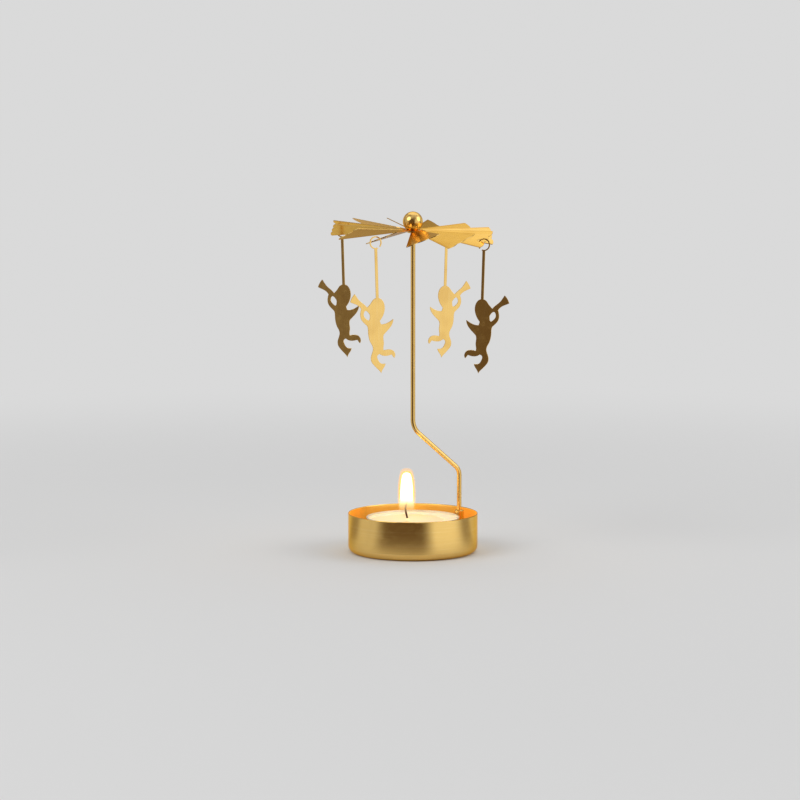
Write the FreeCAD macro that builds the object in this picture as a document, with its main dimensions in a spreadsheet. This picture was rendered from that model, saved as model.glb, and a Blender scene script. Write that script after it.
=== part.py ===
# Rotary tealight carousel: a brass dish holds a tealight, a bent wire post rises from
# the dish, and a twelve-bladed fan with four hanging cherubs turns on the post's needle.
# Origin: centre of the dish's underside. +Z is up, and -Y is the front of the display.
import FreeCAD, Part
import Sketcher
import math
import os
from enum import IntEnum
from types import SimpleNamespace

Constraint = Sketcher.Constraint
Vector = FreeCAD.Vector
Placement = FreeCAD.Placement
Rotation = FreeCAD.Rotation
UP = Vector(0, 0, 1)
FULL_TURN = 360

# Driving sizes, in millimetres and degrees
DRIVING_SIZES = (
    # drawn dish
    ("dish_diameter", 56.2),
    ("dish_height", 17.0),
    ("dish_wall", 0.6),
    ("dish_corner", 3.0),
    # socket and bent wire post
    ("socket_diameter", 4.0),
    ("socket_height", 16.0),
    ("socket_depth", 12.0),
    ("post_offset", 23.0),
    ("post_azimuth", 28.0),
    ("wire_diameter", 2.0),
    ("wire_fit", 0.05),
    ("lower_bend_height", 34.4),
    ("upper_bend_height", 53.9),
    ("lower_bend_curve", 5.0),
    ("upper_bend_curve", 8.0),
    ("needle_height", 144.8),
    ("needle_length", 7.0),
    ("needle_point", 0.12),
    # knob, bearing cup and hub washer
    ("knob_diameter", 8.6),
    ("knob_seat_diameter", 4.8),
    ("knob_crown", 1.55),
    ("knob_bore", 3.1),
    ("knob_neck_diameter", 4.2),
    ("knob_neck_length", 1.3),
    ("cup_height", 1.5),
    ("cup_fit", 0.04),
    ("dimple_diameter", 2.0),
    ("dimple_depth", 0.8),
    ("needle_play", 0.25),
    ("washer_diameter", 7.4),
    ("washer_thickness", 0.6),
    ("hub_fit", 0.05),
    # fan wheel
    ("sheet_thickness", 0.35),
    ("hub_diameter", 12.4),
    ("blade_root_reach", 4.6),
    ("blade_root_width", 2.5),
    ("blade_reach", 34.0),
    ("blade_tip_width", 15.0),
    ("lobe_height", 0.7),
    ("blade_pitch", 23.6),
    ("blade_droop", 1.9),
    ("first_blade_azimuth", 7.5),
    ("wheel_lean_angle", 2.9),
    ("wheel_nod_angle", 2.6),
    ("hook_hole_diameter", 2.4),
    ("hook_hole_inset", 2.2),
    ("hook_hole_offset", 1.9),
    # hanging cherubs
    ("hook_outer", 5.4),
    ("hook_inner", 4.4),
    ("hook_gap", 1.1),
    ("hook_gap_angle", 237.0),
    ("hook_drop", 1.2),
    ("hook_lead", 0.45),
    ("hook_aside", 0.35),
    ("stem_width", 1.2),
    ("stem_length", 20.4),
    ("figure_height", 31.8),
    ("cherub_thickness", 0.4),
    ("cherub_turn_angle", 22.5),
    # tealight
    ("tealight_diameter", 39.9),
    ("tealight_height", 14.6),
    ("tealight_wall", 0.2),
    ("tealight_corner", 1.5),
    ("tealight_bead", 0.3),
    ("tealight_lift", 0.05),
    ("wax_depth", 13.2),
    ("wax_fit", 0.04),
    ("wax_crest", 0.5),
    ("wax_crest_width", 1.2),
    ("wick_diameter", 0.9),
    ("wick_height", 5.5),
    ("wick_offset", 2.3),
    ("wick_straight", 0.6),
    ("wick_lean_height", 2.5),
    ("wick_lean_angle", 22.0),
    ("wick_return_angle", 10.0),
    ("wick_curve", 3.0),
    ("sustainer_diameter", 13.0),
    ("sustainer_thickness", 0.3),
    ("sustainer_neck_diameter", 2.2),
    ("sustainer_neck_height", 3.5),
)

BLADE_COUNT = 12
LOBES_PER_BLADE = 3
HOOK_COUNT = 4
FIRST_HOOK_BLADE = 2

# Shares of other sizes
SOCKET_CHAMFER_SHARE = 1 / 3
HOLE_CUT_SHARE = 4
FIGURE_SPREAD_SHARE = 1.08

# Cherub outline in shares of the figure's height: across towards the trumpet, and down
# from the top of the head. Each run is smooth, and the runs meet at sharp corners.
FIGURE_RUNS_SHARES = (
    # back of the head
    ((0.000, 0.000), (-0.060, 0.031), (-0.092, 0.106), (-0.088, 0.184), (-0.062, 0.252),
     (-0.023, 0.308)),
    # shoulder, then the wing's upper and lower edges
    ((-0.023, 0.308), (-0.037, 0.352)),
    ((-0.037, 0.352), (-0.099, 0.348), (-0.156, 0.324), (-0.202, 0.294)),
    ((-0.202, 0.294), (-0.187, 0.356), (-0.141, 0.421), (-0.071, 0.492)),
    # back and buttock
    ((-0.071, 0.492), (-0.063, 0.545), (-0.068, 0.608), (-0.060, 0.665), (-0.064, 0.702)),
    # raised rear leg and its foot
    ((-0.064, 0.702), (-0.127, 0.692), (-0.181, 0.707), (-0.211, 0.750), (-0.201, 0.809)),
    ((-0.201, 0.809), (-0.180, 0.781), (-0.168, 0.762)),
    ((-0.168, 0.762), (-0.113, 0.775), (-0.057, 0.772), (-0.010, 0.745)),
    # standing leg: back of the thigh, calf, heel, sole and toe
    ((-0.010, 0.745), (0.025, 0.781), (0.011, 0.827), (-0.011, 0.863), (-0.042, 0.877),
     (-0.082, 0.877)),
    ((-0.082, 0.877), (-0.069, 0.914), (-0.041, 0.956), (-0.023, 1.000)),
    # shin, knee, belly and chest
    ((-0.023, 1.000), (-0.004, 0.970), (0.025, 0.939), (0.065, 0.894), (0.099, 0.843),
     (0.105, 0.781), (0.088, 0.727), (0.075, 0.680), (0.082, 0.632), (0.107, 0.582),
     (0.125, 0.520), (0.132, 0.455), (0.133, 0.400), (0.144, 0.362)),
    # arm up to the trumpet
    ((0.144, 0.362), (0.184, 0.322), (0.218, 0.272), (0.228, 0.212), (0.218, 0.156),
     (0.212, 0.139)),
    # trumpet: lower side, bell mouth and upper side
    ((0.212, 0.139), (0.243, 0.098), (0.289, 0.069), (0.356, 0.037)),
    ((0.356, 0.037), (0.330, -0.020), (0.294, -0.066)),
    ((0.294, -0.066), (0.269, -0.025), (0.240, 0.018), (0.190, 0.065), (0.136, 0.123)),
    # plain rounded face and forelock
    ((0.136, 0.123), (0.112, 0.098), (0.086, 0.068), (0.058, 0.028), (0.030, 0.008),
     (0.000, 0.000)),
)
ARM_GAP_SHARES = (
    (0.122, 0.190), (0.172, 0.170), (0.186, 0.215), (0.160, 0.266), (0.116, 0.290),
    (0.103, 0.240),
)

# Each hanging cherub: its name, the hooked blade that carries it, where it faces, which
# way it turns from there, and whether its ring crosses the blade's edge aslant
CHERUBS = (
    ("cherub_back_right", 0, 0, 1, 1),
    ("cherub_back_left", 1, 180, -1, 0),
    ("cherub_front_left", 2, 180, 1, 1),
    ("cherub_front_right", 3, 0, -1, 0),
)


class Size:
    """A number that carries the sheet expression it comes from."""

    def __init__(self, value, text):
        self.value = value
        self.text = text

    def __add__(self, other):
        other = as_size(other)
        return Size(self.value + other.value, "(%s + %s)" % (self.text, other.text))

    def __sub__(self, other):
        other = as_size(other)
        return Size(self.value - other.value, "(%s - %s)" % (self.text, other.text))

    def __mul__(self, other):
        other = as_size(other)
        return Size(self.value * other.value, "(%s * %s)" % (self.text, other.text))

    def __truediv__(self, other):
        other = as_size(other)
        return Size(self.value / other.value, "(%s / %s)" % (self.text, other.text))

    def __neg__(self):
        return Size(-self.value, "(-%s)" % self.text)


def as_size(number):
    """Give a plain number the same form as a size from the sheet."""
    if isinstance(number, Size):
        return number
    return Size(float(number), str(number))


def root(size):
    """Square root of a size."""
    return Size(math.sqrt(size.value), "sqrt(%s)" % size.text)


def sine(angle):
    """Sine of an angle in degrees."""
    return Size(math.sin(math.radians(angle.value)), "sin(%s)" % angle.text)


def cosine(angle):
    """Cosine of an angle in degrees."""
    return Size(math.cos(math.radians(angle.value)), "cos(%s)" % angle.text)


def bind(thing, **sizes):
    """Bind properties of a feature to sizes of the sheet."""
    for name, size in sizes.items():
        thing.setExpression(name.replace("__", "."), size.text)


class Held(IntEnum):
    """Numbers by which a sketch knows its own axes and the points of an edge."""

    ACROSS_AXIS = -1
    UP_AXIS = -2
    START = 1
    END = 2
    CENTRE = 3


class Bend:
    """The round edge that leaves a corner of an outline: radius, centre and direction."""

    def __init__(self, radius, across, up, leftward=True):
        self.radius = radius
        self.centre = (across, up)
        self.leftward = leftward


def point_of(pair):
    """The numeric point of a pair of sizes."""
    return Vector(as_size(pair[0]).value, as_size(pair[1]).value, 0)


def hold(sketch, name, kind, end, size):
    """Hold one end of an edge at a distance that the sheet gives."""
    if not isinstance(size, Size):
        axis = Held.UP_AXIS if kind == "DistanceX" else Held.ACROSS_AXIS
        sketch.addConstraint(Constraint("PointOnObject", *end, axis))
        return
    index = sketch.addConstraint(
        Constraint(kind, Held.ACROSS_AXIS, Held.START, *end, size.value))
    sketch.renameConstraint(index, name)
    sketch.setExpression("Constraints." + name, size.text)


def draw_outline(sketch, corners):
    """Draw a closed outline of lines and arcs, with every corner held by the sheet."""
    starts = []
    ends = []
    following = corners[1:] + corners[:1]
    for (across, up, *bends), after in zip(corners, following):
        first = point_of((across, up))
        last = point_of(after)
        if not bends:
            edge = sketch.addGeometry(Part.LineSegment(first, last))
            starts.append((edge, Held.START))
            ends.append((edge, Held.END))
            continue
        bend = bends[0]
        circle = Part.Circle(point_of(bend.centre), UP, as_size(bend.radius).value)
        low, high = circle.parameter(first), circle.parameter(last)
        if not bend.leftward:
            low, high = high, low
        edge = sketch.addGeometry(Part.ArcOfCircle(circle, low, high))
        starts.append((edge, Held.START if bend.leftward else Held.END))
        ends.append((edge, Held.END if bend.leftward else Held.START))
    for index, ((across, up, *bends), after) in enumerate(zip(corners, following)):
        arriving = ends[index - 1]
        leaving = starts[index]
        sketch.addConstraint(Constraint("Coincident", *arriving, *leaving))
        hold(sketch, "across_%d" % index, "DistanceX", leaving, across)
        hold(sketch, "up_%d" % index, "DistanceY", leaving, up)
        for bend in bends:
            chord = point_of(after) - point_of((across, up))
            level = abs(chord.x) > abs(chord.y)
            kind, place = ("DistanceY", bend.centre[1]) if level else ("DistanceX", bend.centre[0])
            hold(sketch, "bend_%d" % index, kind, (leaving[0], Held.CENTRE), place)


def start_body(name):
    """Start a sub-part that is made by sketches and features."""
    body = doc.addObject("PartDesign::Body", name)
    body.Label = name
    return body


def start_sketch(body, name, plane):
    """Start a sketch on one of the sub-part's own origin planes."""
    sketch = body.newObject("Sketcher::SketchObject", name)
    support = next(f for f in body.Origin.OriginFeatures if f.Role == plane)
    sketch.AttachmentSupport = [(support, "")]
    sketch.MapMode = "FlatFace"
    return sketch


def turned_body(name, corners):
    """A turned or drawn sub-part: an outline of radius and height, revolved about Z."""
    body = start_body(name)
    sketch = start_sketch(body, name + "_profile", "XZ_Plane")
    draw_outline(sketch, corners)
    turned = body.newObject("PartDesign::Revolution", name + "_turned")
    turned.Profile = sketch
    turned.ReferenceAxis = (sketch, ["V_Axis"])
    turned.Angle = FULL_TURN
    sketch.Visibility = False
    return body


def rounded_path(points, curves):
    """Join points by straight runs, with a tangent arc of given radius at each inner point."""
    edges = []
    start = points[0]
    for before, corner, after, curve in zip(points, points[1:], points[2:], curves):
        back = (before - corner).normalize()
        ahead = (after - corner).normalize()
        half = back.getAngle(ahead) / 2
        entry = corner + back * (curve / math.tan(half))
        leave = corner + ahead * (curve / math.tan(half))
        crown = corner + (back + ahead).normalize() * (curve / math.sin(half) - curve)
        edges.append(Part.LineSegment(start, entry).toShape())
        edges.append(Part.Arc(entry, crown, leave).toShape())
        start = leave
    edges.append(Part.LineSegment(start, points[-1]).toShape())
    return Part.Wire(edges)


def bent_rod(name, points, curves, diameter):
    """A round rod swept along a bent path in the XZ plane."""
    path = doc.addObject("Part::Feature", name + "_path")
    path.Shape = rounded_path(points, curves)
    section = doc.addObject("Part::Circle", name + "_section")
    bind(section, Radius=diameter / 2)
    section.Placement = Placement(points[0], Rotation())
    rod = doc.addObject("Part::Sweep", name + "_rod")
    rod.Sections = [section]
    rod.Spine = (path, ["Edge%d" % (i + 1) for i in range(len(path.Shape.Edges))])
    rod.Solid = True
    rod.Frenet = False
    return rod


def make_dish():
    """Drawn brass dish: flat floor, rounded bottom corner, thin wall and a smooth rim."""
    radius = S.dish_diameter / 2
    inner = radius - S.dish_wall
    corner = S.dish_corner
    shoulder = radius - corner
    rim = S.dish_wall / 2
    return turned_body("base_dish", [
        (0, 0),
        (shoulder, 0, Bend(corner, shoulder, corner)),
        (radius, corner),
        (radius, S.dish_height - rim, Bend(rim, radius - rim, S.dish_height - rim)),
        (inner, S.dish_height - rim),
        (inner, corner, Bend(corner - S.dish_wall, shoulder, corner, leftward=False)),
        (shoulder, S.dish_wall),
        (0, S.dish_wall),
    ])


def make_socket():
    """Turned socket that stands on the dish floor and takes the post's foot."""
    radius = S.socket_diameter / 2
    bore = S.wire_diameter / 2 + S.wire_fit
    floor = S.dish_wall
    top = floor + S.socket_height
    chamfer = (radius - bore) * SOCKET_CHAMFER_SHARE
    body = turned_body("post_socket", [
        (0, floor),
        (radius, floor),
        (radius, top - chamfer),
        (radius - chamfer, top),
        (bore, top),
        (bore, top - S.socket_depth),
        (0, top - S.socket_depth),
    ])
    bind(body, Placement__Base__x=S.post_offset * cosine(S.post_azimuth),
         Placement__Base__y=S.post_offset * sine(S.post_azimuth))
    return body


def make_post():
    """Bent wire post: foot in the socket, two bends over the flame, needle on the axis."""
    foot = S.dish_wall + S.socket_height - S.socket_depth + S.wire_fit
    shoulder = S.needle_height - S.needle_length
    points = [
        Vector(S.post_offset.value, 0, foot.value),
        Vector(S.post_offset.value, 0, S.lower_bend_height.value),
        Vector(0, 0, S.upper_bend_height.value),
        Vector(0, 0, shoulder.value),
    ]
    curves = (S.lower_bend_curve.value, S.upper_bend_curve.value)
    rod = bent_rod("post", points, curves, S.wire_diameter)
    needle = doc.addObject("Part::Cone", "needle")
    bind(needle, Radius1=S.wire_diameter / 2, Radius2=S.needle_point, Height=S.needle_length,
         Placement__Base__z=shoulder)
    post = doc.addObject("Part::Fuse", "post")
    post.Base = rod
    post.Tool = needle
    post.Label = "post"
    bind(post, Placement__Rotation__Yaw=S.post_azimuth)
    return post


def bearing_levels():
    """Heights of the bearing cup, the ball and the seat, worked up from the needle's tip."""
    cup_low = S.needle_height + S.needle_play - S.dimple_depth
    bore_top = cup_low + S.cup_height
    ball = bore_top + S.knob_crown - S.knob_diameter / 2
    radius = S.knob_diameter / 2
    seat_radius = S.knob_seat_diameter / 2
    seat = ball - root(radius * radius - seat_radius * seat_radius)
    return SimpleNamespace(cup_low=cup_low, bore_top=bore_top, ball=ball, seat=seat)


def make_knob():
    """Hollow ball knob with a flat seat and a short neck that passes through the wheel."""
    level = bearing_levels()
    radius = S.knob_diameter / 2
    bore = S.knob_bore / 2
    neck = S.knob_neck_diameter / 2
    low = level.seat - S.knob_neck_length
    return turned_body("ball_knob", [
        (bore, low),
        (neck, low),
        (neck, level.seat),
        (S.knob_seat_diameter / 2, level.seat, Bend(radius, 0, level.ball)),
        (0, level.ball + radius),
        (0, level.bore_top),
        (bore, level.bore_top),
    ])


def make_bearing_cup():
    """Bearing cup pressed into the top of the knob's bore; its dimple rests on the needle."""
    level = bearing_levels()
    radius = S.knob_bore / 2 - S.cup_fit
    return turned_body("bearing_cup", [
        (S.dimple_diameter / 2, level.cup_low),
        (radius, level.cup_low),
        (radius, level.bore_top),
        (0, level.bore_top),
        (0, level.cup_low + S.dimple_depth),
    ])


def make_washer():
    """Washer pressed on the knob's neck, which holds the wheel against the ball's seat."""
    level = bearing_levels()
    top = level.seat - S.sheet_thickness
    bore = S.knob_neck_diameter / 2 + S.hub_fit
    radius = S.washer_diameter / 2
    return turned_body("hub_washer", [
        (bore, top - S.washer_thickness),
        (radius - S.washer_thickness / 2, top - S.washer_thickness),
        (radius, top - S.washer_thickness / 2),
        (radius, top),
        (bore, top),
    ])


def blade_azimuth(number):
    """Azimuth of a blade's centre line."""
    return S.first_blade_azimuth + number * FULL_TURN / BLADE_COUNT


def tilt_sketch(sketch, azimuth):
    """Turn a sketch into the plane of a pitched and drooping blade."""
    middle = bearing_levels().seat - S.sheet_thickness / 2
    bind(sketch, AttachmentOffset__Base__z=middle, AttachmentOffset__Rotation__Yaw=azimuth,
         AttachmentOffset__Rotation__Pitch=S.blade_droop,
         AttachmentOffset__Rotation__Roll=S.blade_pitch)


def blade_outline():
    """Flat outline of a blade: straight sides and a scalloped tip."""
    half_root = S.blade_root_width / 2
    half_tip = S.blade_tip_width / 2
    lobe = S.blade_tip_width / LOBES_PER_BLADE
    curve = (lobe * lobe / 4 + S.lobe_height * S.lobe_height) / (S.lobe_height * 2)
    corners = [(S.blade_root_reach, -half_root)]
    for number in range(LOBES_PER_BLADE):
        start = lobe * number - half_tip
        centre = (S.blade_reach + S.lobe_height - curve, start + lobe / 2)
        corners.append((S.blade_reach, start, Bend(curve, *centre)))
    corners.append((S.blade_reach, half_tip))
    corners.append((S.blade_root_reach, half_root))
    return corners


def hook_hole_place():
    """Reach and sideways place of a hook hole in the plane of its blade."""
    return S.blade_reach - S.hook_hole_inset, -S.hook_hole_offset


def plate(body, name, sketch, kind):
    """Pad or pocket a sketch evenly to both sides of its plane."""
    feature = body.newObject(kind, name)
    feature.Profile = sketch
    feature.SideType = "Symmetric"
    sketch.Visibility = False
    return feature


def repeat_round(body, name, original, count):
    """Repeat a feature evenly about the sub-part's vertical axis."""
    pattern = body.newObject("PartDesign::PolarPattern", name)
    axis = next(f for f in body.Origin.OriginFeatures if f.Role == "Z_Axis")
    pattern.Originals = [original]
    pattern.Axis = (axis, [""])
    pattern.Angle = FULL_TURN
    pattern.Occurrences = count
    body.Tip = pattern
    return pattern


def make_wheel():
    """Fan wheel cut from one sheet: a hub disc, twelve pitched blades and four hook holes."""
    level = bearing_levels()
    bore = S.knob_neck_diameter / 2 + S.hub_fit
    body = start_body("fan_wheel")

    hub_sketch = start_sketch(body, "hub_rings", "XY_Plane")
    for name, radius in (("rim", S.hub_diameter / 2), ("bore", bore)):
        ring = hub_sketch.addGeometry(Part.Circle(Vector(), UP, radius.value))
        hub_sketch.addConstraint(
            Constraint("Coincident", ring, Held.CENTRE, Held.ACROSS_AXIS, Held.START))
        held = hub_sketch.addConstraint(Constraint("Radius", ring, radius.value))
        hub_sketch.renameConstraint(held, name)
        hub_sketch.setExpression("Constraints." + name, radius.text)
    bind(hub_sketch, AttachmentOffset__Base__z=level.seat - S.sheet_thickness / 2)
    hub = plate(body, "hub_disc", hub_sketch, "PartDesign::Pad")
    bind(hub, Length=S.sheet_thickness)

    blade_sketch = start_sketch(body, "blade_outline", "XY_Plane")
    tilt_sketch(blade_sketch, blade_azimuth(0))
    draw_outline(blade_sketch, blade_outline())
    blade = plate(body, "blade", blade_sketch, "PartDesign::Pad")
    bind(blade, Length=S.sheet_thickness)
    repeat_round(body, "blades", blade, BLADE_COUNT)

    hole_sketch = start_sketch(body, "hook_hole_outline", "XY_Plane")
    tilt_sketch(hole_sketch, blade_azimuth(FIRST_HOOK_BLADE))
    reach, offset = hook_hole_place()
    radius = S.hook_hole_diameter / 2
    ring = hole_sketch.addGeometry(Part.Circle(point_of((reach, offset)), UP, radius.value))
    hold(hole_sketch, "reach", "DistanceX", (ring, Held.CENTRE), reach)
    hold(hole_sketch, "offset", "DistanceY", (ring, Held.CENTRE), offset)
    held = hole_sketch.addConstraint(Constraint("Radius", ring, radius.value))
    hole_sketch.renameConstraint(held, "round")
    hole_sketch.setExpression("Constraints.round", radius.text)
    hole = plate(body, "hook_hole", hole_sketch, "PartDesign::Pocket")
    bind(hole, Length=S.sheet_thickness * HOLE_CUT_SHARE)
    repeat_round(body, "hook_holes", hole, HOOK_COUNT)
    return body


def smooth_run(points):
    """A straight line through two points, or a smooth curve through more."""
    if len(points) == 2:
        return Part.LineSegment(*points).toShape()
    curve = Part.BSplineCurve()
    curve.interpolate(points)
    return curve.toShape()


def figure_point(share, top):
    """A point of the cherub's outline below the top of its head."""
    height = S.figure_height.value
    return Vector(share[0] * height * FIGURE_SPREAD_SHARE, 0, top - share[1] * height)


def cherub_shape():
    """Flat stamped cherub with a trumpet, its stem, and an open ring round the origin."""
    thickness = S.cherub_thickness.value
    through = Vector(0, thickness, 0)
    outer = S.hook_outer.value / 2
    inner = S.hook_inner.value / 2
    stem = S.stem_width.value
    back = Vector(0, -thickness / 2, 0)
    facing = Vector(0, 1, 0)

    ring = Part.makeCylinder(outer, thickness, back, facing)
    ring = ring.cut(Part.makeCylinder(inner, thickness, back, facing))
    gap = Part.makeBox(outer, thickness, S.hook_gap.value,
                       Vector(0, -thickness / 2, -S.hook_gap.value / 2))
    gap.rotate(Vector(), facing, -S.hook_gap_angle.value)
    ring = ring.cut(gap)

    head_top = -outer - S.stem_length.value
    runs = [[figure_point(share, head_top) for share in run] for run in FIGURE_RUNS_SHARES]
    outline = Part.Wire([smooth_run(run) for run in runs])
    arm_gap = Part.BSplineCurve()
    arm_gap.interpolate([figure_point(share, head_top) for share in ARM_GAP_SHARES], True)
    figure = Part.Face([outline, Part.Wire(arm_gap.toShape())])
    figure.translate(back)
    figure = figure.extrude(through)

    overlap = (outer - inner) / 2
    length = S.stem_length.value + overlap + stem
    rod = Part.makeBox(stem, thickness, length,
                       Vector(-stem / 2, -thickness / 2, head_top - stem))
    whole = ring.fuse([rod, figure]).removeSplitter()
    return whole.Solids[0]


def strip_point(rotor_place, number):
    """Centre of the narrow strip between a hook hole and the nearest cusp of the tip."""
    azimuth = blade_azimuth(FIRST_HOOK_BLADE).value + number * FULL_TURN / HOOK_COUNT
    middle = bearing_levels().seat.value - S.sheet_thickness.value / 2
    turn = Rotation(azimuth, S.blade_droop.value, S.blade_pitch.value)
    hole = point_of(hook_hole_place())
    half_lobe = S.blade_tip_width.value / LOBES_PER_BLADE / 2
    cusp = Vector(S.blade_reach.value, -half_lobe, 0)
    to_cusp = cusp - hole
    strip = (to_cusp.Length + S.hook_hole_diameter.value / 2) / 2
    on_blade = hole + to_cusp.normalize() * strip
    return rotor_place * Placement(Vector(0, 0, middle), turn) * on_blade


def make_cherub(name, shape, pivot, facing):
    """Hang a cherub by its ring, with its centre of mass straight under the ring."""
    piece = doc.addObject("Part::Feature", name)
    piece.Label = name
    piece.Shape = shape
    middle = shape.CenterOfMass
    lean = math.degrees(math.atan2(middle.x, -middle.z))
    piece.Placement = Placement(pivot, Rotation(facing, lean, 0))
    return piece


def make_tealight_cup():
    """Thin drawn cup of the tealight, with a small bead rolled outward at its rim."""
    radius = S.tealight_diameter / 2
    wall = S.tealight_wall
    corner = S.tealight_corner
    bead = S.tealight_bead
    shoulder = radius - corner
    top = S.tealight_height
    body = turned_body("tealight_cup", [
        (0, 0),
        (shoulder, 0, Bend(corner, shoulder, corner)),
        (radius, corner),
        (radius, top - bead * 2, Bend(bead, radius, top - bead)),
        (radius, top),
        (radius - wall, top),
        (radius - wall, corner, Bend(corner - wall, shoulder, corner, leftward=False)),
        (shoulder, wall),
        (0, wall),
    ])
    bind(body, Placement__Base__z=S.dish_wall + S.tealight_lift)
    return body


def wax_levels():
    """Heights of the wax above the dish's underside: its floor and its pool."""
    floor = S.dish_wall + S.tealight_lift + S.tealight_wall
    return SimpleNamespace(floor=floor, pool=floor + S.wax_depth)


def make_wax():
    """Wax with a crest up the cup's wall, hollowed for the wick and its sustainer."""
    level = wax_levels()
    radius = S.tealight_diameter / 2 - S.tealight_wall - S.wax_fit
    corner = S.tealight_corner - S.tealight_wall
    low = level.floor + S.wax_fit
    pool = radius - S.wax_crest_width
    curve = (S.wax_crest_width * S.wax_crest_width + S.wax_crest * S.wax_crest)
    curve = curve / (S.wax_crest * 2)
    block = turned_body("wax_block", [
        (0, low),
        (radius - corner, low, Bend(corner, radius - corner, low + corner)),
        (radius, low + corner),
        (radius, level.pool + S.wax_crest, Bend(curve, pool, level.pool + curve, leftward=False)),
        (pool, level.pool),
        (0, level.pool),
    ])
    hollows = []
    hollow_sizes = (
        ("wick_bore", S.wick_diameter, S.wax_depth + S.wax_crest),
        ("neck_recess", S.sustainer_neck_diameter, S.sustainer_neck_height),
        ("foot_recess", S.sustainer_diameter, S.sustainer_thickness),
    )
    for name, diameter, height in hollow_sizes:
        hollow = doc.addObject("Part::Cylinder", name)
        bind(hollow, Radius=diameter / 2 + S.wax_fit, Height=height + S.wax_fit,
             Placement__Base__x=-S.wick_offset, Placement__Base__z=level.floor)
        hollows.append(hollow)
    core = doc.addObject("Part::MultiFuse", "wick_core")
    core.Shapes = hollows
    wax = doc.addObject("Part::Cut", "tealight_wax")
    wax.Base = block
    wax.Tool = core
    wax.Label = "tealight_wax"
    return wax


def make_sustainer():
    """Stamped foot of the wick: a thin disc with a short neck that grips the wick."""
    radius = S.sustainer_diameter / 2
    neck = S.sustainer_neck_diameter / 2
    bore = S.wick_diameter / 2 + S.wax_fit
    body = turned_body("wick_sustainer", [
        (bore, 0),
        (radius, 0),
        (radius, S.sustainer_thickness),
        (neck, S.sustainer_thickness),
        (neck, S.sustainer_neck_height),
        (bore, S.sustainer_neck_height),
    ])
    bind(body, Placement__Base__x=-S.wick_offset, Placement__Base__z=wax_levels().floor)
    return body


def make_wick():
    """Burnt wick that stands in the sustainer, leans to the left and bends back at its tip."""
    level = wax_levels()
    foot = Vector(-S.wick_offset.value, 0, level.floor.value + S.wax_fit.value)
    bend = Vector(-S.wick_offset.value, 0, level.pool.value + S.wick_straight.value)
    lean = math.radians(S.wick_lean_angle.value)
    elbow = bend + Vector(-math.tan(lean), 0, 1) * S.wick_lean_height.value
    rest = level.pool.value + S.wick_height.value - elbow.z
    tip = elbow + Vector(math.tan(math.radians(S.wick_return_angle.value)), 0, 1) * rest
    curves = (S.wick_curve.value, S.wick_curve.value)
    wick = bent_rod("wick", [foot, bend, elbow, tip], curves, S.wick_diameter)
    wick.Label = "wick"
    return wick


def make_all():
    """Build every sub-part and return them in the order of assembly."""
    pieces = [make_dish(), make_socket(), make_post()]
    rotor = [make_wheel(), make_knob(), make_bearing_cup(), make_washer()]
    pivot = Vector(0, 0, S.needle_height.value)
    tilt = Rotation(0, S.wheel_lean_angle.value, S.wheel_nod_angle.value)
    rotor_place = Placement(Vector(), tilt, pivot)
    for piece in rotor:
        piece.Placement = rotor_place
    pieces.extend(rotor)

    shape = cherub_shape()
    for name, number, facing, turn, aslant in CHERUBS:
        azimuth = facing + turn * S.cherub_turn_angle.value
        shift = Vector(S.hook_lead.value, -aslant * S.hook_aside.value, -S.hook_drop.value)
        ring = strip_point(rotor_place, number) + Rotation(azimuth, 0, 0) * shift
        pieces.append(make_cherub(name, shape.copy(), ring, azimuth))

    pieces.extend([make_tealight_cup(), make_wax(), make_sustainer(), make_wick()])
    return pieces


def check(pieces):
    """Stop if any object failed or any sub-part is not a valid solid."""
    for thing in doc.Objects:
        if "Invalid" in thing.State or "Error" in thing.State:
            raise RuntimeError("failed object: " + thing.Label)
    for piece in pieces:
        shape = piece.Shape
        if shape.isNull() or not shape.isValid() or not shape.Solids:
            raise RuntimeError("bad shape: " + piece.Label)


doc = FreeCAD.newDocument("carousel")
sheet = doc.addObject("Spreadsheet::Sheet", "Sizes")
for row, (alias, value) in enumerate(DRIVING_SIZES, start=1):
    sheet.set("A%d" % row, alias)
    sheet.set("B%d" % row, str(value))
    sheet.setAlias("B%d" % row, alias)
doc.recompute()
S = SimpleNamespace(**{alias: Size(value, "Sizes." + alias) for alias, value in DRIVING_SIZES})

parts = make_all()
doc.recompute()
check(parts)
os.makedirs("parts", exist_ok=True)
for part in parts:
    part.Shape.exportStep("parts/%s.step" % part.Label)
    print("%-20s volume %.2f" % (part.Label, part.Shape.Volume))
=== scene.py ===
import logging
import math
from abc import ABC, abstractmethod
from dataclasses import dataclass
from enum import Enum
from typing import Any, Mapping, NamedTuple, Optional, Sequence, Union

import bmesh
import bpy
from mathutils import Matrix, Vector
from mathutils.geometry import interpolate_bezier


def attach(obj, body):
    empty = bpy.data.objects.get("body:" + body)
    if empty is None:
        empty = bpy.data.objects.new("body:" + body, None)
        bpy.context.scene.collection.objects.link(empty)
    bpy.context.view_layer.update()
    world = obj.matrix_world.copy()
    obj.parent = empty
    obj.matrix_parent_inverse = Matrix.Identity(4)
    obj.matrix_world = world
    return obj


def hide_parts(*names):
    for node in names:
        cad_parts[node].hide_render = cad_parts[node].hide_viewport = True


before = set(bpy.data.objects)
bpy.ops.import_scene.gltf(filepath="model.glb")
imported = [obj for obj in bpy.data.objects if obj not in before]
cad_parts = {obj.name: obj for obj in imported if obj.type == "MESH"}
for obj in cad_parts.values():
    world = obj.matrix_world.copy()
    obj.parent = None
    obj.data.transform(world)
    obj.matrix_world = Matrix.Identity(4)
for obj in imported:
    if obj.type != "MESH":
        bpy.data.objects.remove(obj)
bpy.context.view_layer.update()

LOG = logging.getLogger("carousel")
MM = 0.001

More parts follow.
